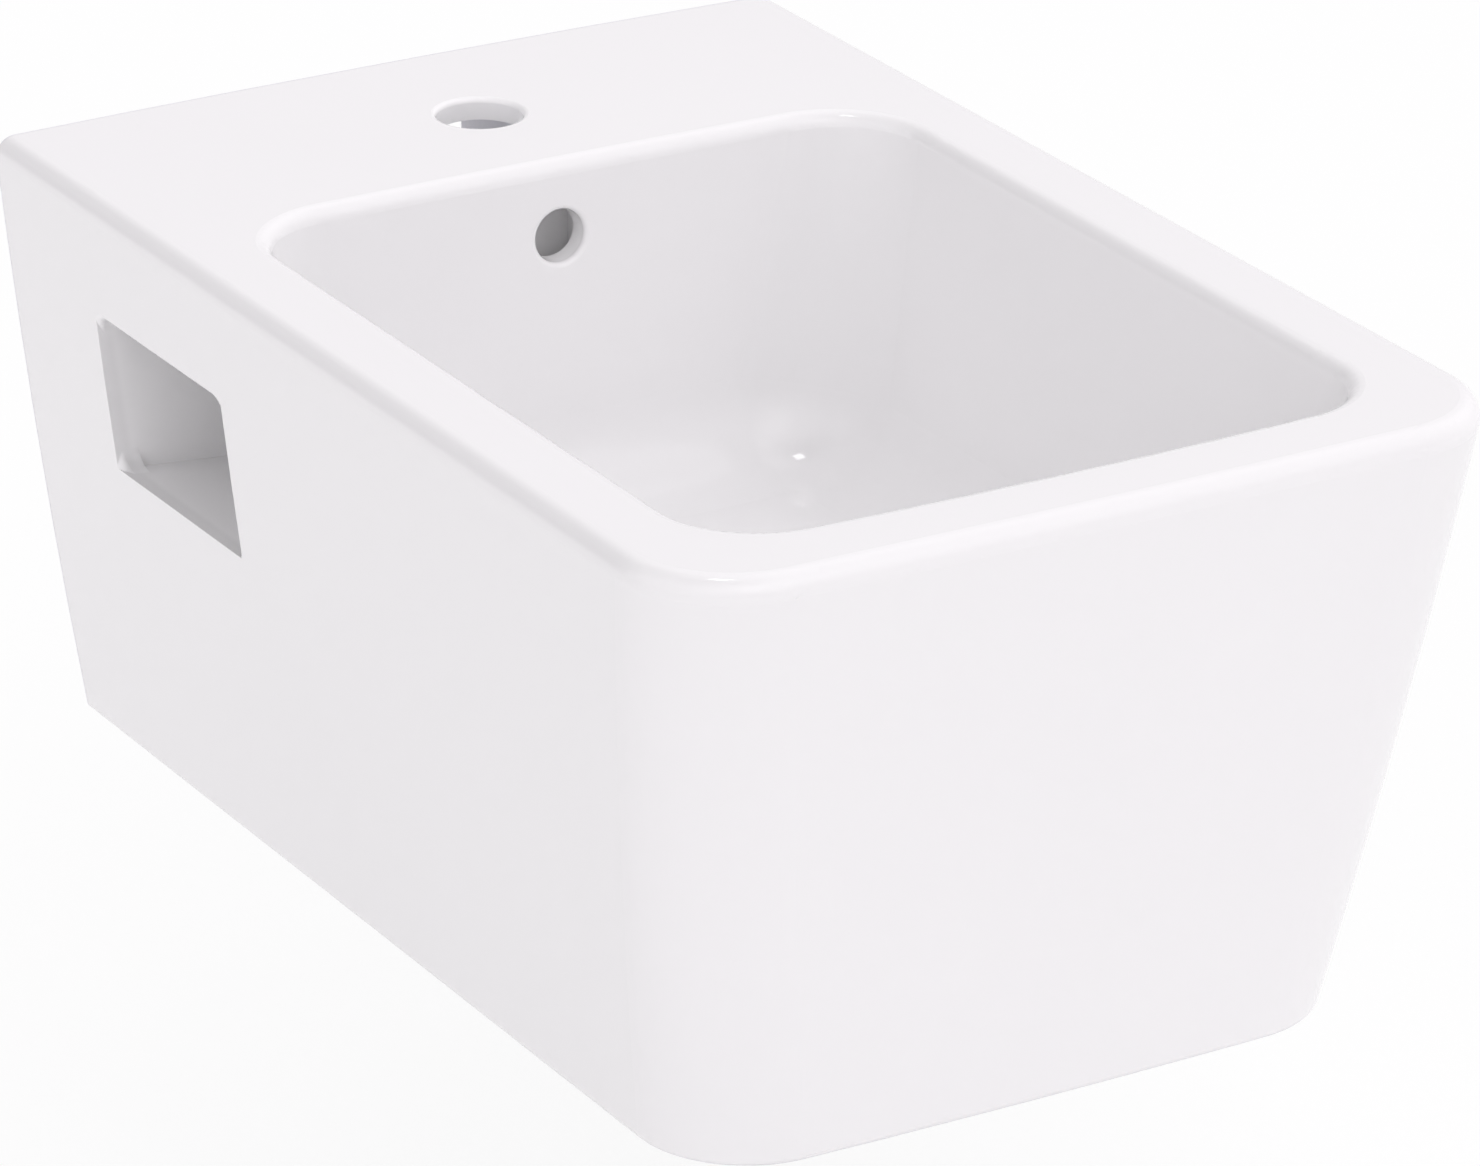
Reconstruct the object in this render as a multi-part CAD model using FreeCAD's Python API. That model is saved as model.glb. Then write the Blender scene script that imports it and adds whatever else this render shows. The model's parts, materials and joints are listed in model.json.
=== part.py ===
import FreeCAD, Part
import math
import os
from FreeCAD import Vector

# Wall-hung bidet, in millimetres. Origin midway between the two fixing studs on the wall plane.
# +X to the right seen from the front, +Y into the wall, +Z up.

# Casting, outside
body_width = 359.0
body_depth = 540.0
body_height = 253.0
base_width = 290.0
base_depth = 496.0
corner_radius = 46.5
base_corner_radius = 45.5
front_bow = 2.8
side_belly = 2.4
front_belly = 0.3
deck_crown = 1.4
front_crown = 0.3
rim_edge_radius = 7.9
base_edge_radius = 3.0
rim_above_studs = 85.0

# Casting, walls
skirt_wall = 10.0
deck_thickness = 8.0
base_flange_width = 14.0
base_flange_thickness = 10.0

# Bowl
bowl_width = 285.5
bowl_from_wall = 136.0
front_rim_width = 38.0
bowl_front_bow = 4.0
bowl_corner_radius = 37.0
bowl_depth = 141.0
bowl_side_draft = 25.0
bowl_rear_draft = 5.0
bowl_front_draft = 34.0
bowl_floor_corner_radius = 46.0
bowl_floor_radius = 38.0
bowl_wall = 10.0
bowl_lip_radius = 6.4
dish_radius = 72.0
dish_depth = 5.0

# Tap hole
tap_hole_diameter = 35.0
tap_from_wall = 71.0
tap_edge_radius = 2.0

# Overflow
overflow_diameter = 22.0
overflow_below_rim = 30.0
overflow_edge_radius = 2.0
duct_width = 32.0
duct_gap = 14.0
duct_wall = 8.0

# Wall fixing lugs and the access windows in the skirt's sides
stud_spacing = 180.0
stud_hole_diameter = 19.0
lug_depth = 76.0
lug_wall = 12.0
lug_boss_diameter = 38.0
service_gap = 61.0
window_length = 106.0
window_height = 65.5
window_below_rim = 50.5
window_corner_radius = 8.0
window_edge_radius = 3.0
pocket_slope = 5.0
pocket_wall = 10.0

# Wall fixing set
stud_diameter = 12.0
stud_shank_diameter = 10.8
stud_in_wall = 55.0
stud_behind_washer = 15.0
stud_past_nut = 12.0
stud_chamfer = 1.2
bush_diameter = 18.0
bush_collar_diameter = 32.0
bush_collar_thickness = 3.0
bush_short_of_wall = 8.0
stud_clearance = 0.2
washer_diameter = 30.0
washer_thickness = 2.5
nut_across_flats = 19.0
nut_thickness = 10.0
thread_clearance = 0.05

# Waste
waste_from_wall = 265.0
waste_hole_diameter = 46.0
waste_boss_diameter = 86.0
waste_boss_height = 30.0
waste_seat_diameter = 70.0
waste_seat_depth = 3.5
flange_diameter = 65.0
flange_thickness = 2.5
flange_edge_radius = 1.2
waste_thread_diameter = 41.8
waste_mouth_diameter = 48.0
neck_clearance = 0.4
neck_wall = 1.5
waste_bore_diameter = 33.0
top_seal_thickness = 1.5
overflow_slot_width = 12.0
overflow_slot_count = 4
overflow_slot_angle = 90.0
cone_seal_diameter = 60.0
cone_seal_thickness = 6.0
cone_seal_lip = 3.0
slip_washer_thickness = 2.0
backnut_across_flats = 56.0
backnut_thickness = 10.0
thread_past_backnut = 10.0
tail_diameter = 32.0
tail_wall = 1.5
tail_length = 38.0
tail_collar_diameter = 36.0
tail_collar_height = 12.0
tail_seal_thickness = 2.0
spider_below_seat = 28.0
spider_arm_width = 3.5
spider_arm_height = 5.0
spider_arm_count = 3
spider_arm_angle = 30.0
spider_hub_diameter = 18.0
spider_hub_height = 8.0

# Plug and its cartridge, drawn closed
plug_diameter = 63.0
plug_edge_thickness = 3.5
plug_crown = 1.5
plug_edge_radius = 1.2
plug_above_flange = 1.0
plug_boss_diameter = 12.0
plug_boss_height = 6.0
plug_travel = 8.0
plug_seal_width = 5.5
seal_clearance = 0.2
stem_diameter = 6.0
stem_in_plug = 9.0
stem_collar_diameter = 9.4
stem_collar_height = 2.7
stem_tip_diameter = 5.0
stem_tip_length = 10.0
lock_nut_across_flats = 10.0
lock_nut_thickness = 3.5
sleeve_diameter = 16.0
sleeve_bore_diameter = 10.0
sleeve_spigot_diameter = 13.0
sleeve_below_lock_nut = 3.5
sleeve_past_hub = 4.0
retaining_ring_thickness = 2.0
running_clearance = 0.15
index_ring_height = 3.0
index_tooth_count = 4
index_tooth_depth = 1.2
stop_clearance = 0.3
base_plug_height = 3.0
base_head_height = 2.0
spring_wire_diameter = 0.9
spring_mean_diameter = 7.6
spring_turns = 6
quarters_per_turn = 4

# Heights
rim_z = rim_above_studs
base_z = rim_z - body_height
deck_under_z = rim_z - deck_thickness
bowl_floor_z = rim_z - bowl_depth
dish_z = bowl_floor_z - dish_depth
seat_z = dish_z - waste_seat_depth
boss_under_z = seat_z - waste_boss_height
flange_under_z = seat_z + top_seal_thickness
flange_top_z = flange_under_z + flange_thickness
cone_seal_under_z = boss_under_z - cone_seal_thickness
slip_washer_under_z = cone_seal_under_z - slip_washer_thickness
backnut_under_z = slip_washer_under_z - backnut_thickness
waste_end_z = backnut_under_z - thread_past_backnut
tail_collar_top_z = waste_end_z + tail_collar_height
tail_seal_top_z = tail_collar_top_z + tail_seal_thickness
hub_top_z = seat_z - spider_below_seat
hub_under_z = hub_top_z - spider_hub_height
plug_under_z = flange_top_z + plug_above_flange
plug_boss_under_z = plug_under_z - plug_boss_height
lock_nut_under_z = plug_boss_under_z - lock_nut_thickness
sleeve_top_z = lock_nut_under_z - sleeve_below_lock_nut
retaining_under_z = sleeve_top_z - retaining_ring_thickness
index_top_z = retaining_under_z - plug_travel - stop_clearance
collar_top_z = index_top_z - index_ring_height
collar_under_z = collar_top_z - stem_collar_height
sleeve_end_z = hub_under_z - sleeve_past_hub
spring_foot_z = sleeve_end_z + base_plug_height

# Cutting forms run past the faces that they open by this much
overshoot = 20.0
full_turn = 360.0

# Edges to be rounded are found within these distances
edge_margin = 1.0
edge_match = 0.1

# Waste position and mouth
waste_axis = Vector(0, -waste_from_wall, 0)
up = Vector(0, 0, 1)
into_wall = Vector(0, 1, 0)
mouth_cone_depth = (waste_mouth_diameter - waste_bore_diameter) / 2
neck_under_z = flange_top_z - mouth_cone_depth - neck_wall


def at(point, z):
    return Vector(point.x, point.y, z)


def cylinder_z(radius, low, high, axis=waste_axis):
    return Part.makeCylinder(radius, high - low, at(axis, low))


def cylinder_y(radius, front, rear, x, z):
    return Part.makeCylinder(radius, rear - front, Vector(x, front, z), into_wall)


def block(low, high):
    size = high - low
    return Part.makeBox(size.x, size.y, size.z, low)


def ring_z(outer, inner, low, high):
    return cylinder_z(outer, low, high).cut(cylinder_z(inner, low, high))


def hexagon(across_flats, centre, direction, height):
    corner = across_flats / math.sqrt(3)
    frame = FreeCAD.Rotation(up, direction)
    sides = 6
    corners = []
    for step in range(sides + 1):
        angle = 2 * math.pi * step / sides
        corners.append(centre + frame.multVec(Vector(corner * math.cos(angle), corner * math.sin(angle), 0)))
    return Part.Face(Part.makePolygon(corners)).extrude(direction * height)


def chamfered_hexagon(across_flats, centre, direction, height):
    """Nut blank whose far face has its corners turned off at 30 degrees."""
    flat = across_flats / 2
    cone = Part.makeCone(flat + height * math.sqrt(3), flat, height, centre, direction)
    return hexagon(across_flats, centre, direction, height).common(cone)


def turned(points, foot=waste_axis, along=up):
    """Solid of revolution from (radius, distance along the axis) corners."""
    corners = [foot + Vector(radius, 0, 0) + along * distance for radius, distance in points]
    face = Part.Face(Part.makePolygon(corners + corners[:1]))
    return face.revolve(foot, along, full_turn)


def round_waste(shape, angle):
    """The shape turned about its own upright axis and set on the waste axis."""
    shape.rotate(Vector(0, 0, 0), up, angle)
    shape.translate(waste_axis)
    return shape


def rounded_rectangle(centre, across, along, half_across, half_along, radius):
    """Closed wire with round corners, in the plane of two directions."""
    turn = radius * (1 - math.sqrt(0.5))
    edges = []
    first_start = None
    last_end = None
    for side_across, side_along in ((1, -1), (1, 1), (-1, 1), (-1, -1)):
        corner = centre + across * (side_across * half_across) + along * (side_along * half_along)
        near_across = corner - along * (side_along * radius)
        near_along = corner - across * (side_across * radius)
        knee = corner - across * (side_across * turn) - along * (side_along * turn)
        start, end = near_along, near_across
        if side_across * side_along > 0:
            start, end = near_across, near_along
        if last_end is None:
            first_start = start
        else:
            edges.append(Part.LineSegment(last_end, start).toShape())
        edges.append(Part.Arc(start, knee, end).toShape())
        last_end = end
    edges.append(Part.LineSegment(last_end, first_start).toShape())
    return Part.Wire(edges)


def edges_where(shape, test):
    return [edge for edge in shape.Edges if test(edge)]


def middle(edge):
    return edge.valueAt((edge.FirstParameter + edge.LastParameter) / 2)


def mirrored(point):
    return Vector(-point.x, point.y, point.z)


def bowed_corner(half, front, radius, bow, z):
    """Right front corner of an outline with a bowed front: the corner's side end, knee and front end."""
    bow_radius = (half * half + bow * bow) / (2 * bow)
    bow_y = front + bow_radius
    corner_y = bow_y - math.sqrt((bow_radius - radius) ** 2 - (half - radius) ** 2)
    centre = Vector(half - radius, corner_y, z)
    outward = (centre - Vector(0, bow_y, z)).normalize()
    half_turn = (outward + Vector(1, 0, 0)).normalize()
    return Vector(half, corner_y, z), centre + half_turn * radius, centre + outward * radius


def skirt_outline(depth_share, inset, rear):
    """Closed outline of the skirt at a share of its height below the rim, drawn in by inset."""
    swell = 4 * depth_share * (1 - depth_share)
    half = (body_width + (base_width - body_width) * depth_share) / 2 + side_belly * swell - inset
    depth = body_depth + (base_depth - body_depth) * depth_share + front_belly * swell - inset
    radius = corner_radius + (base_corner_radius - corner_radius) * depth_share - inset
    z = rim_z - body_height * depth_share
    side, knee, tangent = bowed_corner(half, -depth, radius, front_bow, z)
    back = Vector(half, rear, z)
    return Part.Wire([
        Part.LineSegment(mirrored(back), mirrored(side)).toShape(),
        Part.Arc(mirrored(side), mirrored(knee), mirrored(tangent)).toShape(),
        Part.Arc(mirrored(tangent), Vector(0, -depth, z), tangent).toShape(),
        Part.Arc(tangent, knee, side).toShape(),
        Part.LineSegment(side, back).toShape(),
        Part.LineSegment(back, mirrored(back)).toShape(),
    ])


def skirt_half_width(z):
    share = (rim_z - z) / body_height
    straight = (body_width + (base_width - body_width) * share) / 2
    return straight + side_belly * 4 * share * (1 - share)


def crown_profile(y, crown):
    """Space above the deck at one station: an arch over the body's width, open upwards."""
    reach = body_width / 2
    radius = (reach * reach + crown * crown) / (2 * crown)
    arch_z = rim_z + crown - radius
    wide = reach + overshoot
    edge_z = arch_z + math.sqrt(radius * radius - wide * wide)
    top_z = rim_z + overshoot
    arch = Part.Arc(Vector(-wide, y, edge_z), Vector(0, y, rim_z + crown), Vector(wide, y, edge_z))
    return Part.Wire([
        arch.toShape(),
        Part.LineSegment(Vector(wide, y, edge_z), Vector(wide, y, top_z)).toShape(),
        Part.LineSegment(Vector(wide, y, top_z), Vector(-wide, y, top_z)).toShape(),
        Part.LineSegment(Vector(-wide, y, top_z), Vector(-wide, y, edge_z)).toShape(),
    ])


def skirt_envelope():
    """Filled outside form: tapered loft, crowned on top, with rounded rim and base edges."""
    over = (deck_crown + deck_thickness) / body_height
    shares = (-over, 0.5, 1.0)
    form = Part.makeLoft([skirt_outline(share, 0, 0) for share in shares], True, False)
    rear_share = 1 + overshoot / body_depth
    rear = crown_profile(overshoot, front_crown + (deck_crown - front_crown) * rear_share)
    front = crown_profile(-body_depth - overshoot, front_crown)
    form = form.cut(Part.makeLoft([rear, front], True, True))
    low_rim_z = rim_z - rim_edge_radius

    def on_rim(edge):
        box = edge.BoundBox
        return box.ZMin > low_rim_z and box.YMin < -edge_margin

    def on_base(edge):
        box = edge.BoundBox
        return box.ZMax < base_z + base_edge_radius and box.YMin < -edge_margin

    form = form.makeFillet(rim_edge_radius, edges_where(form, on_rim))
    return form.makeFillet(base_edge_radius, edges_where(form, on_base))


def bowl_outline(z, grow):
    """Outline of the bowl at a height, grown outwards: round corners and a bowed front."""
    share = (rim_z - z) / bowl_depth
    half = bowl_width / 2 - bowl_side_draft * share + grow
    rear = -bowl_from_wall - bowl_rear_draft * share + grow
    front = -body_depth + front_rim_width + bowl_front_draft * share - grow
    radius = bowl_corner_radius + (bowl_floor_corner_radius - bowl_corner_radius) * share + grow
    turn = radius * (1 - math.sqrt(0.5))
    side, knee, tangent = bowed_corner(half, front, radius, bowl_front_bow, z)
    rear_side = Vector(half, rear - radius, z)
    rear_knee = Vector(half - turn, rear - turn, z)
    rear_tangent = Vector(half - radius, rear, z)
    return Part.Wire([
        Part.LineSegment(mirrored(rear_tangent), rear_tangent).toShape(),
        Part.Arc(rear_tangent, rear_knee, rear_side).toShape(),
        Part.LineSegment(rear_side, side).toShape(),
        Part.Arc(side, knee, tangent).toShape(),
        Part.Arc(tangent, Vector(0, front, z), mirrored(tangent)).toShape(),
        Part.Arc(mirrored(tangent), mirrored(knee), mirrored(side)).toShape(),
        Part.LineSegment(mirrored(side), mirrored(rear_side)).toShape(),
        Part.Arc(mirrored(rear_side), mirrored(rear_knee), mirrored(rear_tangent)).toShape(),
    ])


def bowl_form(grow, top):
    """Filled form of the bowl, with a rounded floor edge and a dished floor."""
    floor = bowl_floor_z - grow
    form = Part.makeLoft([bowl_outline(top, grow), bowl_outline(floor, grow)], True, True)
    floor_edges = edges_where(form, lambda edge: edge.BoundBox.ZMax < floor + edge_margin)
    form = form.makeFillet(bowl_floor_radius + grow, floor_edges)
    overlap = 0.5
    slope = (dish_radius - waste_seat_diameter / 2) / dish_depth
    wide = dish_radius + grow + overlap * slope
    narrow = waste_seat_diameter / 2 + grow
    low = Vector(0, -waste_from_wall, dish_z - grow)
    return form.fuse(Part.makeCone(narrow, wide, dish_depth + overlap, low))


def rear_wall_point(z, offset):
    """Point behind the bowl's rear wall, at a distance from its inner face."""
    share = (rim_z - z) / bowl_depth
    return Vector(0, -bowl_from_wall - bowl_rear_draft * share + offset, z)


def duct_run(start, end, half_gap, half_width):
    """Flat channel between two points of the middle plane, with round ends."""
    along = (end - start).normalize()
    across = Vector(0, -along.z, along.y) * half_gap
    side = Vector(-half_width, 0, 0)
    corners = [start + across + side, end + across + side, end - across + side, start - across + side]
    run = Part.Face(Part.makePolygon(corners + corners[:1])).extrude(Vector(2 * half_width, 0, 0))
    for point in (start, end):
        run = run.fuse(Part.makeCylinder(half_gap, 2 * half_width, point + side, Vector(1, 0, 0)))
    return run


def overflow_duct(grow):
    """Channel from behind the overflow hole down to the waste hole."""
    half_gap = duct_gap / 2 + grow
    half_width = duct_width / 2 + grow
    offset = bowl_wall + duct_gap / 2
    top = rear_wall_point(rim_z - overflow_below_rim, offset)
    level = (seat_z + boss_under_z) / 2
    heel = rear_wall_point(level, offset)
    foot = Vector(0, -waste_from_wall, level)
    return duct_run(top, heel, half_gap, half_width).fuse(duct_run(heel, foot, half_gap, half_width))


def window_prism(side, length):
    """Rounded window opening carried inwards down the pocket's slope."""
    start_x = body_width / 2 + overshoot
    drop = math.tan(math.radians(pocket_slope))
    mid_z = rim_z - window_below_rim - window_height / 2
    lift = (start_x - skirt_half_width(mid_z)) * drop
    centre = Vector(side * start_x, -lug_depth - window_length / 2, mid_z + lift)
    half_length = window_length / 2
    outline = rounded_rectangle(centre, into_wall, up, half_length, window_height / 2, window_corner_radius)
    return Part.Face(outline).extrude(Vector(-side * length, 0, -length * drop))


def pocket_walls(side):
    """Floor, front wall and lug plates round the pocket behind one window."""
    outer_x = body_width / 2
    inner_x = service_gap / 2
    drop = math.tan(math.radians(pocket_slope))
    mid_z = rim_z - window_below_rim - window_height / 2
    sill_z = rim_z - window_below_rim - window_height
    front_y = -lug_depth - window_length
    outer_top = sill_z + (outer_x - skirt_half_width(mid_z)) * drop
    inner_top = sill_z - (skirt_half_width(mid_z) - inner_x) * drop
    outer_under = outer_top - pocket_wall
    inner_under = inner_top - pocket_wall
    section = [
        Vector(side * outer_x, 0, outer_top), Vector(side * inner_x, 0, inner_top),
        Vector(side * inner_x, 0, inner_under), Vector(side * outer_x, 0, outer_under),
    ]
    floor_face = Part.Face(Part.makePolygon(section + section[:1]))
    floor = floor_face.extrude(Vector(0, front_y - pocket_wall, 0))
    low = min(side * inner_x, side * outer_x)
    high = max(side * inner_x, side * outer_x)
    cheek_low = min(side * inner_x, side * (inner_x + lug_wall))
    foot = (inner_top + inner_under) / 2
    front_wall = block(Vector(low, front_y - pocket_wall, outer_under), Vector(high, front_y, rim_z))
    plate = block(Vector(low, -lug_depth, foot), Vector(high, lug_wall - lug_depth, rim_z))
    cheek = block(Vector(cheek_low, -lug_depth, foot), Vector(cheek_low + lug_wall, 0, rim_z))
    boss = cylinder_y(lug_boss_diameter / 2, -lug_depth, 0, side * stud_spacing / 2, 0)
    return floor.multiFuse([front_wall, plate, cheek, boss])


def ceramic_body():
    envelope = skirt_envelope()
    ledge_share = 1 - base_flange_thickness / body_height
    deck_share = deck_thickness / body_height
    middle_share = (ledge_share + deck_share) / 2
    shares = (deck_share, middle_share, ledge_share)
    hollow = Part.makeLoft([skirt_outline(share, skirt_wall, overshoot) for share in shares], True, False)
    mouth_inset = skirt_wall + base_flange_width
    mouth_low = 1 + base_flange_thickness / body_height
    mouth_shares = (ledge_share - base_flange_thickness / body_height / 2, mouth_low)
    mouth_rings = [skirt_outline(share, mouth_inset, overshoot) for share in mouth_shares]
    mouth = Part.makeLoft(mouth_rings, True, True)
    shell = envelope.cut(hollow).cut(mouth)
    reach = 2 * overshoot + skirt_wall
    for side in (-1, 1):
        shell = shell.cut(window_prism(side, reach))

    def on_window(edge):
        point = middle(edge)
        depth_in = skirt_half_width(point.z) - abs(point.x)
        from_middle = abs(point.y + lug_depth + window_length / 2)
        in_length = from_middle < window_length / 2 + edge_margin
        in_height = point.z < rim_z - window_below_rim + 2 * edge_margin
        above_sill = point.z > rim_z - window_below_rim - window_height - 2 * edge_margin
        return in_length and in_height and above_sill and abs(depth_in) < skirt_wall / 4

    shell = shell.makeFillet(window_edge_radius, edges_where(shell, on_window))
    inside = bowl_form(bowl_wall, deck_under_z + deck_thickness / 2)
    boss = cylinder_z(waste_boss_diameter / 2, boss_under_z, bowl_floor_z)
    inside = inside.multiFuse([boss, overflow_duct(duct_wall), pocket_walls(-1), pocket_walls(1)])
    body = shell.fuse(inside.common(envelope))
    cuts = [bowl_form(0, rim_z + deck_thickness)]
    cuts.append(overflow_duct(0))
    cuts.append(cylinder_z(waste_seat_diameter / 2, seat_z, bowl_floor_z))
    cuts.append(cylinder_z(waste_hole_diameter / 2, boss_under_z - overshoot, bowl_floor_z))
    hole_z = rim_z - overflow_below_rim
    hole_mouth = rear_wall_point(hole_z, -bowl_wall).y
    hole_back = rear_wall_point(hole_z, bowl_wall + duct_gap / 2).y
    cuts.append(cylinder_y(overflow_diameter / 2, hole_mouth, hole_back, 0, hole_z))
    tap_axis = Vector(0, -tap_from_wall, 0)
    cuts.append(cylinder_z(tap_hole_diameter / 2, deck_under_z - overshoot, rim_z + overshoot, tap_axis))
    for side in (-1, 1):
        stud_x = side * stud_spacing / 2
        cuts.append(cylinder_y(stud_hole_diameter / 2, -lug_depth - overshoot, overshoot, stud_x, 0))
    for cut in cuts:
        body = body.cut(cut)

    def on_lip(edge):
        box = edge.BoundBox
        point = middle(edge)
        inside_x = abs(point.x) < bowl_width / 2 + edge_margin
        past_front = point.y > -body_depth + front_rim_width - edge_margin
        inside_y = past_front and point.y < edge_margin - bowl_from_wall
        return box.ZMin > rim_z - edge_margin and inside_x and inside_y

    def on_tap(edge):
        point = middle(edge)
        from_axis = math.hypot(point.x, point.y + tap_from_wall)
        on_deck = edge.BoundBox.ZMin > rim_z - edge_margin
        return on_deck and abs(from_axis - tap_hole_diameter / 2) < edge_match

    def on_overflow(edge):
        point = middle(edge)
        from_axis = math.hypot(point.x, point.z - hole_z)
        off_face = edge.BoundBox.YMax - rear_wall_point(hole_z, bowl_wall / 2).y
        return abs(from_axis - overflow_diameter / 2) < edge_match and off_face < 0

    body = body.makeFillet(bowl_lip_radius, edges_where(body, on_lip))
    body = body.makeFillet(tap_edge_radius, edges_where(body, on_tap))
    return body.makeFillet(overflow_edge_radius, edges_where(body, on_overflow))


def fixing_stud(x):
    """Double-ended stud: a thread in the wall, a plain shank and a thread for the nut."""
    thread = stud_diameter / 2
    shank = stud_shank_diameter / 2
    run_out = thread - shank
    seat = -lug_depth - bush_collar_thickness - washer_thickness
    front = seat - nut_thickness - stud_past_nut
    nut_thread = seat + stud_behind_washer
    profile = [
        (0, stud_in_wall), (thread - stud_chamfer, stud_in_wall), (thread, stud_in_wall - stud_chamfer),
        (thread, 0), (shank, -run_out), (shank, nut_thread + run_out), (thread, nut_thread),
        (thread, front + stud_chamfer), (thread - stud_chamfer, front), (0, front),
    ]
    return turned(profile, Vector(x, 0, 0), into_wall)


def fixing_bush(x):
    sleeve = cylinder_y(bush_diameter / 2, -lug_depth, -bush_short_of_wall, x, 0)
    front = -lug_depth - bush_collar_thickness
    collar = cylinder_y(bush_collar_diameter / 2, front, -lug_depth, x, 0)
    bore = cylinder_y(stud_diameter / 2 + stud_clearance, front, 0, x, 0)
    return sleeve.fuse(collar).cut(bore).removeSplitter()


def fixing_washer(x):
    rear = -lug_depth - bush_collar_thickness
    disc = cylinder_y(washer_diameter / 2, rear - washer_thickness, rear, x, 0)
    return disc.cut(cylinder_y(stud_diameter / 2 + stud_clearance, rear - washer_thickness, rear, x, 0))


def fixing_nut(x):
    rear = -lug_depth - bush_collar_thickness - washer_thickness
    body = chamfered_hexagon(nut_across_flats, Vector(x, rear, 0), Vector(0, -1, 0), nut_thickness)
    return body.cut(cylinder_y(stud_diameter / 2 + thread_clearance, rear - nut_thickness, rear, x, 0))


def waste_body():
    """Flange and tube turned in one piece, with overflow slots and a spider that carries the cartridge."""
    thread = waste_thread_diameter / 2
    bore = waste_bore_diameter / 2
    socket = tail_collar_diameter / 2 + thread_clearance
    flange = flange_diameter / 2
    neck = waste_hole_diameter / 2 - neck_clearance
    shape = turned([
        (bore, tail_seal_top_z), (socket, tail_seal_top_z), (socket, waste_end_z), (thread, waste_end_z),
        (thread, neck_under_z), (neck, neck_under_z), (neck, flange_under_z),
        (flange, flange_under_z), (flange, flange_top_z),
        (waste_mouth_diameter / 2, flange_top_z), (bore, flange_top_z - mouth_cone_depth),
    ])

    def on_flange(edge):
        box = edge.BoundBox
        on_top = box.ZMin > flange_top_z - edge_match
        return on_top and box.XLength > flange_diameter - edge_margin

    shape = shape.makeFillet(flange_edge_radius, edges_where(shape, on_flange))
    slot_mid = (seat_z + boss_under_z) / 2
    for step in range(overflow_slot_count):
        slot = block(
            Vector(0, -overflow_slot_width / 2, slot_mid - duct_gap / 2),
            Vector(thread + overshoot, overflow_slot_width / 2, slot_mid + duct_gap / 2),
        )
        shape = shape.cut(round_waste(slot, overflow_slot_angle + full_turn * step / overflow_slot_count))
    hub = cylinder_z(spider_hub_diameter / 2, hub_under_z, hub_top_z)
    arm_mid = (hub_under_z + hub_top_z) / 2
    for step in range(spider_arm_count):
        arm = block(
            Vector(0, -spider_arm_width / 2, arm_mid - spider_arm_height / 2),
            Vector((bore + thread) / 2, spider_arm_width / 2, arm_mid + spider_arm_height / 2),
        )
        hub = hub.fuse(round_waste(arm, spider_arm_angle + full_turn * step / spider_arm_count))
    hub = hub.cut(cylinder_z(sleeve_spigot_diameter / 2 + thread_clearance, hub_under_z, hub_top_z))
    return shape.fuse(hub).removeSplitter()


def waste_top_seal():
    return ring_z(flange_diameter / 2, waste_hole_diameter / 2, seat_z, flange_under_z)


def waste_cone_seal():
    inner = waste_thread_diameter / 2 + stud_clearance
    outer = cone_seal_diameter / 2
    hole = waste_hole_diameter / 2 - stud_clearance
    shoulder = cone_seal_thickness / 2
    return turned([
        (inner, cone_seal_under_z), (outer, cone_seal_under_z), (outer, boss_under_z - shoulder),
        (outer - shoulder / 2, boss_under_z), (hole, boss_under_z),
        ((inner + hole) / 2, boss_under_z + cone_seal_lip), (inner, boss_under_z + cone_seal_lip),
    ])


def waste_slip_washer():
    inner = waste_thread_diameter / 2 + stud_clearance
    return ring_z(cone_seal_diameter / 2, inner, slip_washer_under_z, cone_seal_under_z)


def waste_backnut():
    centre = at(waste_axis, slip_washer_under_z)
    body = chamfered_hexagon(backnut_across_flats, centre, Vector(0, 0, -1), backnut_thickness)
    bore = waste_thread_diameter / 2 + thread_clearance
    return body.cut(cylinder_z(bore, backnut_under_z, slip_washer_under_z))


def waste_tail():
    outer = tail_diameter / 2
    inner = outer - tail_wall
    collar = tail_collar_diameter / 2
    end_z = waste_end_z - tail_length
    return turned([
        (inner, end_z), (outer, end_z), (outer, waste_end_z), (collar, waste_end_z),
        (collar, tail_collar_top_z), (inner, tail_collar_top_z),
    ])


def tail_seal():
    return ring_z(tail_collar_diameter / 2, tail_diameter / 2 - tail_wall, tail_collar_top_z, tail_seal_top_z)


def plug_cap():
    """Domed cap with a threaded boss under its middle."""
    half = plug_diameter / 2
    edge_z = plug_under_z + plug_edge_thickness
    radius = (half * half + plug_crown * plug_crown) / (2 * plug_crown)
    dome = Part.makeSphere(radius, at(waste_axis, edge_z + plug_crown - radius))
    cap = cylinder_z(half, plug_under_z, edge_z + plug_crown).common(dome)

    def on_edge(edge):
        box = edge.BoundBox
        return box.XLength > plug_diameter - edge_margin and box.ZMin > plug_under_z + plug_edge_thickness / 2

    cap = cap.makeFillet(plug_edge_radius, edges_where(cap, on_edge))
    cap = cap.fuse(cylinder_z(plug_boss_diameter / 2, plug_boss_under_z, plug_under_z))
    hole = stem_diameter / 2 + thread_clearance
    return cap.cut(cylinder_z(hole, plug_boss_under_z, plug_boss_under_z + stem_in_plug)).removeSplitter()


def plug_seal():
    """Lip ring under the cap whose slanted side follows the flange's mouth."""
    slack = seal_clearance * math.sqrt(2)
    outer = waste_mouth_diameter / 2 - seal_clearance
    inner = outer - plug_seal_width
    mouth_z = flange_top_z - waste_mouth_diameter / 2 + slack
    chin = plug_seal_width / 2
    return turned([
        (inner, plug_under_z), (outer, plug_under_z), (outer, mouth_z + outer),
        (outer - chin, mouth_z + outer - chin), (inner, mouth_z + outer - chin),
    ])


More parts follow.
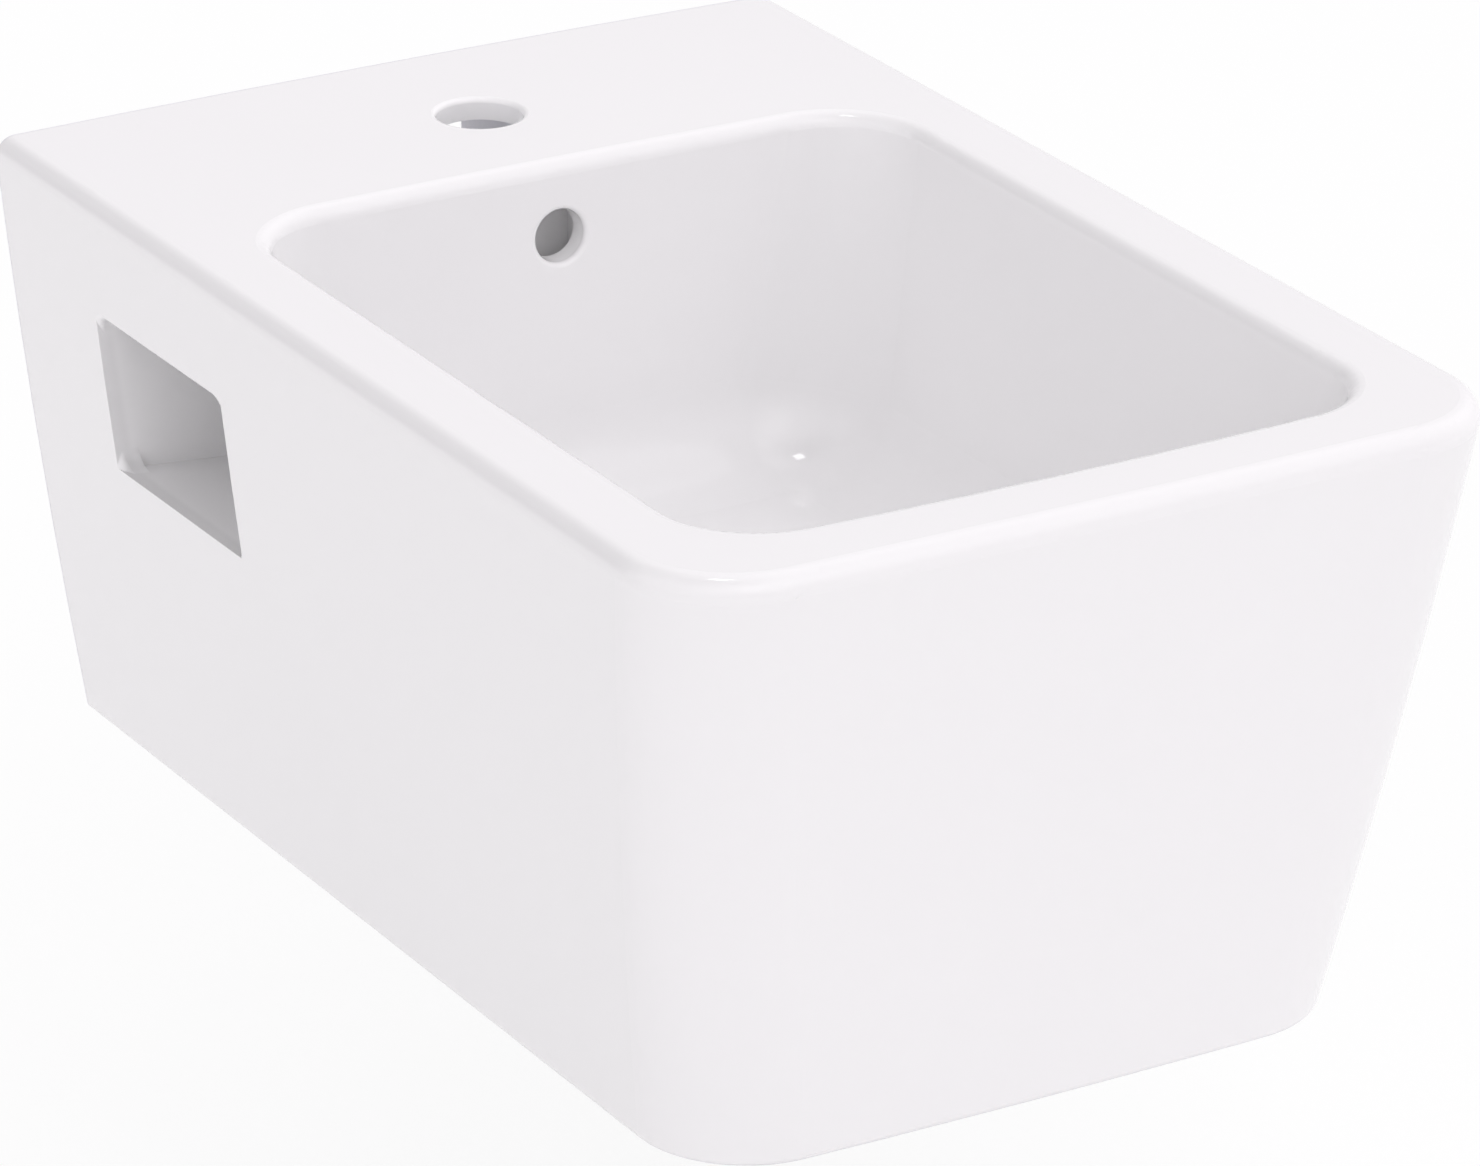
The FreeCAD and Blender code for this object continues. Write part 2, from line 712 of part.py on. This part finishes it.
def plug_stem():
    rod = stem_diameter / 2
    collar = stem_collar_diameter / 2
    tip = stem_tip_diameter / 2
    top_z = plug_boss_under_z + stem_in_plug
    return turned([
        (0, collar_under_z - stem_tip_length), (tip, collar_under_z - stem_tip_length), (tip, collar_under_z),
        (collar, collar_under_z), (collar, collar_top_z), (rod, collar_top_z), (rod, top_z), (0, top_z),
    ])


def stem_lock_nut():
    centre = at(waste_axis, plug_boss_under_z)
    body = chamfered_hexagon(lock_nut_across_flats, centre, Vector(0, 0, -1), lock_nut_thickness)
    return body.cut(cylinder_z(stem_diameter / 2 + thread_clearance, lock_nut_under_z, plug_boss_under_z))


def cartridge_sleeve():
    outer = sleeve_diameter / 2
    spigot = sleeve_spigot_diameter / 2
    bore = sleeve_bore_diameter / 2
    return turned([
        (bore, sleeve_end_z), (spigot, sleeve_end_z), (spigot, hub_top_z), (outer, hub_top_z),
        (outer, sleeve_top_z), (bore, sleeve_top_z),
    ])


def retaining_ring():
    inner = stem_diameter / 2 + running_clearance
    return ring_z(sleeve_bore_diameter / 2, inner, retaining_under_z, sleeve_top_z)


def cartridge_base():
    bore = sleeve_bore_diameter / 2 - thread_clearance
    head = cylinder_z(sleeve_spigot_diameter / 2, sleeve_end_z - base_head_height, sleeve_end_z)
    return head.fuse(cylinder_z(bore, sleeve_end_z, spring_foot_z)).removeSplitter()


def index_ring():
    """Ring round the stem whose saw teeth step the latch on at each push."""
    inner = stem_diameter / 2 + running_clearance
    outer = sleeve_bore_diameter / 2 - running_clearance
    ring = ring_z(outer, inner, collar_top_z + running_clearance, index_top_z)
    reach = sleeve_bore_diameter / 2
    pitch = 2 * math.pi * reach / index_tooth_count
    profile = [
        Vector(reach, -pitch / 2, index_top_z), Vector(reach, 0, index_top_z),
        Vector(reach, 0, index_top_z - index_tooth_depth),
    ]
    for step in range(index_tooth_count):
        notch = Part.Face(Part.makePolygon(profile + profile[:1])).extrude(Vector(-reach, 0, 0))
        ring = ring.cut(round_waste(notch, full_turn * step / index_tooth_count))
    return ring


def tangent_arc(start, corner, end):
    """Arc from start to end whose end tangents meet in corner."""
    half_chord = (end - start) * 0.5
    chord_middle = start + half_chord
    half_angle = math.acos(half_chord.Length / (corner - start).Length)
    share = math.tan(half_angle / 2) / math.tan(half_angle)
    return Part.Arc(start, chord_middle + (corner - chord_middle) * share, end).toShape()


def cartridge_spring():
    """Compression spring from the cartridge's foot to the stem's collar, wound on pairs of tangent arcs."""
    wire = spring_wire_diameter / 2
    radius = spring_mean_diameter / 2
    low = spring_foot_z + wire + running_clearance
    climb = collar_under_z - wire - running_clearance - low
    steps = spring_turns * quarters_per_turn
    rise = climb / (2 * math.pi * spring_turns)
    points = []
    tangents = []
    for step in range(steps + 1):
        angle = 2 * math.pi * step / quarters_per_turn
        offset = Vector(radius * math.cos(angle), radius * math.sin(angle), low + rise * angle)
        points.append(waste_axis + offset)
        tangents.append(Vector(-radius * math.sin(angle), radius * math.cos(angle), rise).normalize())
    edges = []
    for step in range(steps):
        first, last = points[step], points[step + 1]
        leave, arrive = tangents[step], tangents[step + 1]
        span = last - first
        both = leave + arrive
        spread = 2 * (1 - leave.dot(arrive))
        reach = (math.sqrt(span.dot(both) ** 2 + spread * span.dot(span)) - span.dot(both)) / spread
        first_corner = first + leave * reach
        last_corner = last - arrive * reach
        joint = (first_corner + last_corner) * 0.5
        edges.append(tangent_arc(first, first_corner, joint))
        edges.append(tangent_arc(joint, last_corner, last))
    path = Part.Wire(edges)
    section = Part.Wire(Part.makeCircle(wire, points[0], tangents[0]))
    print("spring gap between turns", round(climb / spring_turns - spring_wire_diameter, 2))
    return path.makePipeShell([section], True, False)


nodes = {
    "ceramic_body": ceramic_body(),
    "waste_body": waste_body(),
    "waste_top_seal": waste_top_seal(),
    "waste_cone_seal": waste_cone_seal(),
    "waste_slip_washer": waste_slip_washer(),
    "waste_backnut": waste_backnut(),
    "waste_tail": waste_tail(),
    "tail_seal": tail_seal(),
    "plug_cap": plug_cap(),
    "plug_seal": plug_seal(),
    "plug_stem": plug_stem(),
    "stem_lock_nut": stem_lock_nut(),
    "cartridge_sleeve": cartridge_sleeve(),
    "cartridge_spring": cartridge_spring(),
    "index_ring": index_ring(),
    "retaining_ring": retaining_ring(),
    "cartridge_base": cartridge_base(),
}
for name, side in (("left", -1), ("right", 1)):
    x = side * stud_spacing / 2
    nodes["fixing_stud_" + name] = fixing_stud(x)
    nodes["fixing_bush_" + name] = fixing_bush(x)
    nodes["fixing_washer_" + name] = fixing_washer(x)
    nodes["fixing_nut_" + name] = fixing_nut(x)

os.makedirs("parts", exist_ok=True)
for name, shape in nodes.items():
    shape.exportStep("parts/" + name + ".step")
    print(name, len(shape.Solids), shape.isValid(), round(shape.Volume / 1000, 3), "cm3")
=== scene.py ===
import json
import math

import bpy
import numpy as np
from mathutils import Matrix, Vector


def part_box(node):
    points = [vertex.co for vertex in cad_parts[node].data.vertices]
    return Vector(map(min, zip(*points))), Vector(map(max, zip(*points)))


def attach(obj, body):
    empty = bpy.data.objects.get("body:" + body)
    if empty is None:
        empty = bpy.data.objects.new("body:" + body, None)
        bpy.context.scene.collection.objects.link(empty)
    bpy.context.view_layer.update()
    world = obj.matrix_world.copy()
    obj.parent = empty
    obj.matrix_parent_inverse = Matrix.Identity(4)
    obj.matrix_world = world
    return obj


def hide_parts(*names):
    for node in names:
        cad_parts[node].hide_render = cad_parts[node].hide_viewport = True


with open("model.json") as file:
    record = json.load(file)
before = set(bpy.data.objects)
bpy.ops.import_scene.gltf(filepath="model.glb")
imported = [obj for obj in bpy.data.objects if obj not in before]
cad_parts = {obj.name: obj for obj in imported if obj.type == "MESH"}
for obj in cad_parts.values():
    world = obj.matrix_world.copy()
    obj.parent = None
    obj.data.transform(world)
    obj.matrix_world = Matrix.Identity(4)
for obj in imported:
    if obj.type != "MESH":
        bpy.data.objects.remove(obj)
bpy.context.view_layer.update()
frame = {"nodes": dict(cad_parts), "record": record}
nodes = frame["nodes"]
print("frame loaded:", len(nodes), "nodes")


# helpers for node trees and meshes

def newMaterial(name):
    material = bpy.data.materials.new(name)
    material.use_nodes = True
    tree = material.node_tree
    tree.nodes.clear()
    output = tree.nodes.new("ShaderNodeOutputMaterial")
    return material, tree, output


def addNode(tree, kind, **settings):
    node = tree.nodes.new(kind)
    for key, value in settings.items():
        setattr(node, key, value)
    return node


def join(tree, source, target):
    tree.links.new(source, target)


def calc(tree, operation, first, second=None, third=None):
    node = addNode(tree, "ShaderNodeMath", operation=operation)
    for index, value in enumerate((first, second, third)):
        if value is None:
            continue
        if isinstance(value, (int, float)):
            node.inputs[index].default_value = value
        else:
            join(tree, value, node.inputs[index])
    return node.outputs[0]


def fold(tree, operation, first, *others):
    # the same operation over any number of values
    for other in others:
        first = calc(tree, operation, first, other)
    return first


def length(tree, first, second):
    # root of the sum of both squares
    squares = [calc(tree, "MULTIPLY", value, value) for value in (first, second)]
    return calc(tree, "SQRT", calc(tree, "ADD", *squares))


def inverse(tree, share):
    # what is left of one
    return calc(tree, "SUBTRACT", 1.0, share)


def softStep(tree, value, low, high):
    node = addNode(tree, "ShaderNodeMapRange", interpolation_type="SMOOTHSTEP")
    join(tree, value, node.inputs["Value"])
    node.inputs["From Min"].default_value = low
    node.inputs["From Max"].default_value = high
    return node.outputs["Result"]


def between(tree, share, low, high):
    node = addNode(tree, "ShaderNodeMapRange")
    join(tree, share, node.inputs["Value"])
    node.inputs["To Min"].default_value = low
    node.inputs["To Max"].default_value = high
    return node.outputs["Result"]


def noise(tree, vector, scale, detail, roughness=0.5):
    node = addNode(tree, "ShaderNodeTexNoise")
    join(tree, vector, node.inputs["Vector"])
    node.inputs["Scale"].default_value = scale
    node.inputs["Detail"].default_value = detail
    node.inputs["Roughness"].default_value = roughness
    return node.outputs["Fac"]


def blendColours(tree, share, first, second):
    node = addNode(tree, "ShaderNodeMix", data_type="RGBA")
    join(tree, share, node.inputs["Factor"])
    for socket, value in ((node.inputs[6], first), (node.inputs[7], second)):  # the colour inputs A and B
        if isinstance(value, tuple):
            socket.default_value = (*value, 1.0)
        else:
            join(tree, value, socket)
    return node.outputs[2]  # the colour output


def bump(tree, height, strength, distance, before=None):
    node = addNode(tree, "ShaderNodeBump")
    node.inputs["Strength"].default_value = strength
    node.inputs["Distance"].default_value = distance
    join(tree, height, node.inputs["Height"])
    if before is not None:
        join(tree, before, node.inputs["Normal"])
    return node.outputs["Normal"]


def gridMesh(name, points, rows, columns):
    # rows by columns of points, closed round the columns, with a fan to each end row's middle point
    index = np.arange(rows * columns).reshape(rows, columns)
    near = np.roll(index, -1, axis=1)
    quads = np.stack([index[:-1], near[:-1], near[1:], index[1:]], axis=-1).reshape(-1, 4)
    mesh = bpy.data.meshes.new(name)
    ends = np.array([points[:columns].mean(axis=0), points[-columns:].mean(axis=0)])
    corners = np.concatenate([points, ends])
    firstFan = np.stack([near[0], index[0], np.full(columns, rows * columns)], axis=-1)
    lastFan = np.stack([index[-1], near[-1], np.full(columns, rows * columns + 1)], axis=-1)
    faces = [*map(tuple, quads.tolist()), *map(tuple, firstFan.tolist()), *map(tuple, lastFan.tolist())]
    mesh.from_pydata(corners.tolist(), [], faces)
    mesh.shade_smooth()
    thing = bpy.data.objects.new(name, mesh)
    bpy.context.scene.collection.objects.link(thing)
    return thing


# glaze and bare clay of the casting

glaze = {
    "pale": (0.896, 0.892, 0.896),
    "deep": (0.880, 0.876, 0.880),
    "paintedLightPale": (0.972, 0.969, 0.972),  # painted light: a lighter colour in holes and pockets that lifts their shade
    "paintedLightDeep": (0.950, 0.947, 0.950),
    "rough": (0.045, 0.085),
    "ior": 1.55,
    "waveBump": (0.25, 0.0006),  # strength and distance
    "peelBump": (0.05, 0.0002),
    "clayPale": (0.76, 0.76, 0.79),
    "clayDeep": (0.66, 0.66, 0.70),
    "clayRough": 0.85,
    "gritBump": (0.15, 0.0003),
    "cloudNoise": (7.0, 3.0),  # scale and detail
    "speckNoise": (420.0, 1.0),
    "peelNoise": (55.0, 1.0),
    "waveNoise": (6.0, 1.0),
}

# sizes in metres that tell which faces are glazed; lengths along run from the wall to the front
casting = {
    "rim": 0.085,
    "height": 0.253,
    "halfWidth": (0.1795, -0.0345),  # at the rim, and the change down to the base
    "depth": (0.540, -0.044),
    "corner": (0.0465, -0.001),
    "bowlHeight": 0.141,
    "bowlHalf": (0.1458, -0.025),  # at the rim, and the change down to the floor
    "bowlRear": (0.133, 0.005),
    "bowlFront": (0.505, -0.034),
    "bowlFloor": -0.0655,
    "pocketSide": 0.042,
    "pocketFloor": -0.046,
    "pocketRear": 0.0745,
    "pocketFront": 0.1835,
    "ductHalf": 0.0165,
    "ductRear": 0.110,
    "ductMouth": 0.0015,  # past the bowl's rear wall
    "ductFoot": -0.090,
    "tapFromWall": 0.071,
    "skinEdge": (0.0055, 0.0085),  # each edge begins and ends here
    "deckEdge": (0.0765, 0.0775),
    "sunkEdge": (0.002, 0.006),
    "tapEdge": (0.0178, 0.0190),
    "baseEdge": (-0.1678, -0.1662),
    "wallEdge": (0.0002, 0.0012),
}


def shareDown(tree, height, span):
    # share of the way from the rim down through the span
    return calc(tree, "MULTIPLY_ADD", height, -1 / span, casting["rim"] / span)


def taper(tree, share, size):
    return calc(tree, "MULTIPLY_ADD", share, casting[size][1], casting[size][0])


def glazeMasks(tree, place):
    axes = addNode(tree, "ShaderNodeSeparateXYZ")
    join(tree, place, axes.inputs[0])
    across = calc(tree, "ABSOLUTE", axes.outputs["X"])
    along = calc(tree, "MULTIPLY", axes.outputs["Y"], -1.0)
    height = axes.outputs["Z"]

    def above(value, size):
        return calc(tree, "GREATER_THAN", value, casting[size])

    def below(value, size):
        return calc(tree, "LESS_THAN", value, casting[size])

    # distance inside the skirt's outline: corner radius less the length past the corner's centre
    share = shareDown(tree, height, casting["height"])
    corner = taper(tree, share, "corner")
    past = []
    for value, size in ((across, "halfWidth"), (along, "depth")):
        beyond = calc(tree, "SUBTRACT", value, taper(tree, share, size))
        past.append(calc(tree, "MAXIMUM", calc(tree, "ADD", beyond, corner), 0.0))
    inside = calc(tree, "SUBTRACT", corner, length(tree, *past))
    outer = inverse(tree, softStep(tree, inside, *casting["skinEdge"]))
    # inside the bowl: past its rear wall, short of its front wall and its sides
    bowlShare = shareDown(tree, height, casting["bowlHeight"])
    bowlSide = calc(tree, "SUBTRACT", taper(tree, bowlShare, "bowlHalf"), across)
    bowlRear = calc(tree, "SUBTRACT", along, taper(tree, bowlShare, "bowlRear"))
    bowlFront = calc(tree, "SUBTRACT", taper(tree, bowlShare, "bowlFront"), along)
    inBowl = fold(tree, "MINIMUM", bowlSide, bowlRear, bowlFront)
    bowl = calc(tree, "MULTIPLY", calc(tree, "GREATER_THAN", inBowl, 0.0), above(height, "bowlFloor"))
    deck = softStep(tree, height, *casting["deckEdge"])
    # the pockets behind the side windows, down to their floors
    pocket = fold(tree, "MULTIPLY", above(across, "pocketSide"), above(height, "pocketFloor"),
                  above(along, "pocketRear"), below(along, "pocketFront"))
    # the overflow's duct down the back of the bowl
    duct = fold(tree, "MULTIPLY", below(across, "ductHalf"), below(bowlRear, "ductMouth"),
                above(along, "ductRear"), above(height, "ductFoot"))
    glazed = fold(tree, "MAXIMUM", outer, bowl, deck, pocket, duct)
    # wiped clean where the base ring stands in the kiln and where the back meets the wall
    glazed = fold(tree, "MULTIPLY", glazed, softStep(tree, height, *casting["baseEdge"]),
                  softStep(tree, along, *casting["wallEdge"]))
    # painted light: the pockets, the duct and the tap hole's wall are coloured lighter, which lifts the shade in
    # these hollows
    openFaces = calc(tree, "MAXIMUM", deck, bowl)
    sunk = calc(tree, "MULTIPLY", softStep(tree, inside, *casting["sunkEdge"]), inverse(tree, openFaces))
    paintedLightShare = calc(tree, "MULTIPLY", calc(tree, "MAXIMUM", pocket, duct), sunk)
    fromTap = length(tree, calc(tree, "SUBTRACT", along, casting["tapFromWall"]), across)
    tapWall = inverse(tree, softStep(tree, fromTap, *casting["tapEdge"]))
    return glazed, calc(tree, "MAXIMUM", paintedLightShare, tapWall)


def makeGlaze():
    material, tree, output = newMaterial("white_glaze")
    place = addNode(tree, "ShaderNodeTexCoord").outputs["Object"]
    glazed, paintedLightShare = glazeMasks(tree, place)
    cloud, speck, peel, wave = (
        noise(tree, place, *glaze[key]) for key in ("cloudNoise", "speckNoise", "peelNoise", "waveNoise"))
    gloss = addNode(tree, "ShaderNodeBsdfPrincipled")
    plain = blendColours(tree, cloud, glaze["deep"], glaze["pale"])
    paintedLightColour = blendColours(tree, cloud, glaze["paintedLightDeep"], glaze["paintedLightPale"])
    # painted light: the pockets, the duct and the tap hole's wall take the lighter colour
    join(tree, blendColours(tree, paintedLightShare, plain, paintedLightColour), gloss.inputs["Base Color"])
    join(tree, between(tree, cloud, *glaze["rough"]), gloss.inputs["Roughness"])
    gloss.inputs["IOR"].default_value = glaze["ior"]
    rippled = bump(tree, wave, *glaze["waveBump"])
    join(tree, bump(tree, peel, *glaze["peelBump"], rippled), gloss.inputs["Normal"])
    clay = addNode(tree, "ShaderNodeBsdfPrincipled")
    grain = calc(tree, "MULTIPLY", cloud, speck)
    join(tree, blendColours(tree, grain, glaze["clayPale"], glaze["clayDeep"]), clay.inputs["Base Color"])
    clay.inputs["Roughness"].default_value = glaze["clayRough"]
    join(tree, bump(tree, speck, *glaze["gritBump"]), clay.inputs["Normal"])
    mix = addNode(tree, "ShaderNodeMixShader")
    join(tree, glazed, mix.inputs["Fac"])
    join(tree, clay.outputs[0], mix.inputs[1])
    join(tree, gloss.outputs[0], mix.inputs[2])
    join(tree, mix.outputs[0], output.inputs["Surface"])
    return material


# metals, rubber and plastic

finishes = {
    "chrome_plate": {
        "pale": (0.80, 0.81, 0.82), "deep": (0.74, 0.75, 0.76),
        "metal": 1.0, "rough": (0.04, 0.09), "grain": 60.0, "relief": 0.02},
    "plain_brass": {
        "pale": (0.74, 0.55, 0.27), "deep": (0.66, 0.47, 0.21),
        "metal": 1.0, "rough": (0.20, 0.34), "grain": 140.0, "relief": 0.10},
    "black_rubber": {
        "pale": (0.040, 0.040, 0.041), "deep": (0.022, 0.022, 0.023),
        "metal": 0.0, "rough": (0.50, 0.68), "grain": 300.0, "relief": 0.15},
    "white_nylon": {
        "pale": (0.82, 0.81, 0.77), "deep": (0.77, 0.76, 0.71),
        "metal": 0.0, "rough": (0.36, 0.50), "grain": 120.0, "relief": 0.06},
    "zinc_steel": {
        "pale": (0.66, 0.67, 0.69), "deep": (0.56, 0.57, 0.58),
        "metal": 1.0, "rough": (0.24, 0.42), "grain": 160.0, "relief": 0.08},
    "spring_steel": {
        "pale": (0.56, 0.56, 0.57), "deep": (0.44, 0.44, 0.45),
        "metal": 1.0, "rough": (0.26, 0.40), "grain": 220.0, "relief": 0.06},
}
mottling = {"detail": 3.0, "roughness": 0.6, "bumpDistance": 0.0002}


def makeFinish(name):
    spec = finishes[name]
    material, tree, output = newMaterial(name)
    place = addNode(tree, "ShaderNodeTexCoord").outputs["Object"]
    mottle = noise(tree, place, spec["grain"], mottling["detail"], mottling["roughness"])
    shader = addNode(tree, "ShaderNodeBsdfPrincipled")
    join(tree, blendColours(tree, mottle, spec["deep"], spec["pale"]), shader.inputs["Base Color"])
    join(tree, between(tree, mottle, *spec["rough"]), shader.inputs["Roughness"])
    shader.inputs["Metallic"].default_value = spec["metal"]
    join(tree, bump(tree, mottle, spec["relief"], mottling["bumpDistance"]), shader.inputs["Normal"])
    join(tree, shader.outputs[0], output.inputs["Surface"])
    return material


materials = {name: makeFinish(name) for name in finishes}
materials["white_glaze"] = makeGlaze()
slotOf = {row["node"]: row["material_slot"] for row in frame["record"]["subparts"]}
for name, thing in nodes.items():
    thing.data.materials.clear()
    thing.data.materials.append(materials[slotOf[name]])
print("materials on", len(nodes), "nodes")


# threaded wall studs

stud = {
    "major": 0.006, "minor": 0.0051, "shank": 0.0054, "pitch": 0.00175, "chamfer": 0.0012,
    "flank": 2.6, "rootFlat": 0.15,  # steepness of the thread and the flat at its root
    "wallThread": 0.0, "nutThread": -0.0665, "runOut": 0.002,  # where both threads begin
    "perTurn": 12, "sides": 40,
}


def makeStud(side):
    low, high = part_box("fixing_stud_" + side)
    middle = (low + high) / 2
    front, rear = low.y, high.y
    rows = int((rear - front) / stud["pitch"] * stud["perTurn"])
    along = np.linspace(front, rear, rows)[:, None]
    turn = np.linspace(0, 2 * np.pi, stud["sides"], endpoint=False)[None, :]
    # crest height = triangle wave of (y / pitch - angle / turn), flattened at crest and root
    phase = along / stud["pitch"] - turn / (2 * np.pi)
    wave = np.clip(stud["flank"] * np.abs((phase % 1.0) - 0.5) - stud["rootFlat"], 0.0, 1.0)
    threaded = stud["minor"] + (stud["major"] - stud["minor"]) * wave
    # plain shank between the two threads, with short run-outs
    toWall = np.clip((along - stud["wallThread"]) / stud["runOut"], 0.0, 1.0)
    toNut = np.clip((stud["nutThread"] - along) / stud["runOut"], 0.0, 1.0)
    cut = np.maximum(toWall, toNut)
    radius = stud["shank"] + (threaded - stud["shank"]) * cut
    # both ends are chamfered
    edge = np.minimum(along - front, rear - along)
    radius = np.minimum(radius, stud["major"] - stud["chamfer"] + edge)
    points = np.stack([
        middle.x + radius * np.cos(turn), along + 0 * radius, middle.z - radius * np.sin(turn)], axis=-1)
    thing = gridMesh("threaded_stud_" + side, points.reshape(-1, 3), rows, stud["sides"])
    thing.data.materials.append(materials["zinc_steel"])
    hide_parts("fixing_stud_" + side)
    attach(thing, "bidet")


for side in ("left", "right"):
    makeStud(side)
print("studs threaded")


# floor, room and lamp

stage = {"floorZ": -0.315, "floorSize": 60.0, "floorColour": (0.97, 0.97, 0.97), "lit": 0.12}


def makeFloor():
    half = stage["floorSize"] / 2
    mesh = bpy.data.meshes.new("floor")
    mesh.from_pydata([(-half, -half, 0), (half, -half, 0), (half, half, 0), (-half, half, 0)], [], [(0, 1, 2, 3)])
    mesh.transform(Matrix.Translation((0, 0, stage["floorZ"])))
    floor = bpy.data.objects.new("floor", mesh)
    bpy.context.scene.collection.objects.link(floor)
    material, tree, output = newMaterial("pale_floor")
    diffuse = addNode(tree, "ShaderNodeBsdfDiffuse")
    diffuse.inputs["Color"].default_value = (*stage["floorColour"], 1.0)
    white = addNode(tree, "ShaderNodeEmission")
    white.inputs["Strength"].default_value = 1.0
    path = addNode(tree, "ShaderNodeLightPath").outputs
    # seen as white, less a share that is lit and keeps the shadow
    seen = fold(tree, "MAXIMUM", path["Is Camera Ray"], path["Is Transmission Ray"], path["Is Glossy Ray"])
    mix = addNode(tree, "ShaderNodeMixShader")
    join(tree, calc(tree, "MULTIPLY", seen, 1.0 - stage["lit"]), mix.inputs["Fac"])
    join(tree, diffuse.outputs[0], mix.inputs[1])
    join(tree, white.outputs[0], mix.inputs[2])
    join(tree, mix.outputs[0], output.inputs["Surface"])
    mesh.materials.append(material)


studio = {
    "tint": (1.0, 0.977, 1.0),
    "room": 1.03,
    "darkest": 0.02,
    "edges": {90: 0.81, 66: 0.81, 38: 0.79, 22: 0.88, 10: 0.766},  # cosine at a patch's edge, by elevation
    "patches": [
        {"azimuth": 120, "elevation": 22, "add": -0.30},
        {"azimuth": 0, "elevation": 90, "add": -0.18},
        {"azimuth": 0, "elevation": 66, "add": 0.09},
        {"azimuth": 72, "elevation": 66, "add": 0.23},
        {"azimuth": 144, "elevation": 66, "add": -0.42},
        {"azimuth": 216, "elevation": 66, "add": -0.42},
        {"azimuth": 288, "elevation": 66, "add": 0.03},
        {"azimuth": 0, "elevation": 38, "add": 0.20},
        {"azimuth": 40, "elevation": 38, "add": 0.25},
        {"azimuth": 80, "elevation": 38, "add": -0.08},
        {"azimuth": 120, "elevation": 38, "add": -0.42},
        {"azimuth": 160, "elevation": 38, "add": 0.17},
        {"azimuth": 200, "elevation": 38, "add": -0.07},
        {"azimuth": 240, "elevation": 38, "add": 0.55},
        {"azimuth": 280, "elevation": 38, "add": 0.54},
        {"azimuth": 36, "elevation": 10, "add": -0.11},
        {"azimuth": 72, "elevation": 10, "add": -0.14},
        {"azimuth": 108, "elevation": 10, "add": -0.42},
        {"azimuth": 144, "elevation": 10, "add": -0.14},
        {"azimuth": 180, "elevation": 10, "add": 0.14},
        {"azimuth": 216, "elevation": 10, "add": -0.12},
        {"azimuth": 252, "elevation": 10, "add": -0.46},
        {"azimuth": 288, "elevation": 10, "add": -0.22},
        {"azimuth": 324, "elevation": 10, "add": -0.16},
    ],
}


def makeWorld():
    world = bpy.data.worlds.new("studio")
    bpy.context.scene.world = world
    world.use_nodes = True
    tree = world.node_tree
    tree.nodes.clear()
    output = addNode(tree, "ShaderNodeOutputWorld")
    # an even white room whose sides are brighter or darker in soft patches
    toward = addNode(tree, "ShaderNodeTexCoord").outputs["Generated"]
    strength = studio["room"]
    for spot in studio["patches"]:
        azimuth, elevation = math.radians(spot["azimuth"]), math.radians(spot["elevation"])
        flat = math.cos(elevation)
        facing = addNode(tree, "ShaderNodeVectorMath", operation="DOT_PRODUCT")
        join(tree, toward, facing.inputs[0])
        facing.inputs[1].default_value = (
            math.cos(azimuth) * flat, math.sin(azimuth) * flat, math.sin(elevation))
        patch = softStep(tree, facing.outputs["Value"], studio["edges"][spot["elevation"]], 1.0)
        strength = calc(tree, "MULTIPLY_ADD", patch, spot["add"], strength)
    room = addNode(tree, "ShaderNodeBackground")
    room.inputs["Color"].default_value = (*studio["tint"], 1.0)
    join(tree, calc(tree, "MAXIMUM", strength, studio["darkest"]), room.inputs["Strength"])
    white = addNode(tree, "ShaderNodeBackground")
    white.inputs["Color"].default_value = (1.0, 1.0, 1.0, 1.0)
    white.inputs["Strength"].default_value = 1.0
    path = addNode(tree, "ShaderNodeLightPath").outputs
    # gloss still sees the room's patches, which are the lights
    seen = calc(tree, "MAXIMUM", path["Is Camera Ray"], path["Is Transmission Ray"])
    mix = addNode(tree, "ShaderNodeMixShader")
    join(tree, seen, mix.inputs["Fac"])
    join(tree, room.outputs[0], mix.inputs[1])
    join(tree, white.outputs[0], mix.inputs[2])
    join(tree, mix.outputs[0], output.inputs["Surface"])


overBox = {"at": (-0.13, -0.17, 2.45), "to": (-0.13, -0.17, 0.0), "size": (0.35, 0.35), "watts": 2.7}


def makeOverBox():
    light = bpy.data.lights.new("over_box", "AREA")
    light.shape = "RECTANGLE"
    light.size, light.size_y = overBox["size"]
    light.energy = overBox["watts"]
    lamp = bpy.data.objects.new("over_box", light)
    bpy.context.scene.collection.objects.link(lamp)
    lamp.location = overBox["at"]
    aim = Vector(overBox["to"]) - Vector(overBox["at"])
    lamp.rotation_euler = aim.to_track_quat("-Z", "Y").to_euler()


makeFloor()
makeWorld()
makeOverBox()
print("studio set")


# camera, solved from the photo's outline

camera = {
    "azimuth": -30.796, "elevation": 22.94, "roll": 0.394, "at": (-1.46727, -2.73766, 1.17120),
    "lens": 197.087, "sensor": 36.0, "farthest": 100.0,
}


def makeCamera():
    azimuth, elevation, roll = (math.radians(camera[key]) for key in ("azimuth", "elevation", "roll"))
    flat = math.cos(elevation)
    back = Vector((math.sin(azimuth) * flat, -math.cos(azimuth) * flat, math.sin(elevation)))
    right = Vector((math.cos(azimuth), math.sin(azimuth), 0.0))
    up = back.cross(right)
    # roll turns right and up about the line of sight
    rolledRight = right * math.cos(roll) + up * math.sin(roll)
    rolledUp = up * math.cos(roll) - right * math.sin(roll)
    turned = Matrix((rolledRight, rolledUp, back)).transposed()
    lens = bpy.data.cameras.new("photo_view")
    lens.sensor_width = camera["sensor"]
    lens.lens = camera["lens"]
    lens.clip_end = camera["farthest"]
    eye = bpy.data.objects.new("photo_view", lens)
    bpy.context.scene.collection.objects.link(eye)
    eye.matrix_world = Matrix.Translation(camera["at"]) @ turned.to_4x4()
    bpy.context.scene.camera = eye


makeCamera()
bpy.context.scene.view_settings.view_transform = "Standard"
print("camera placed")
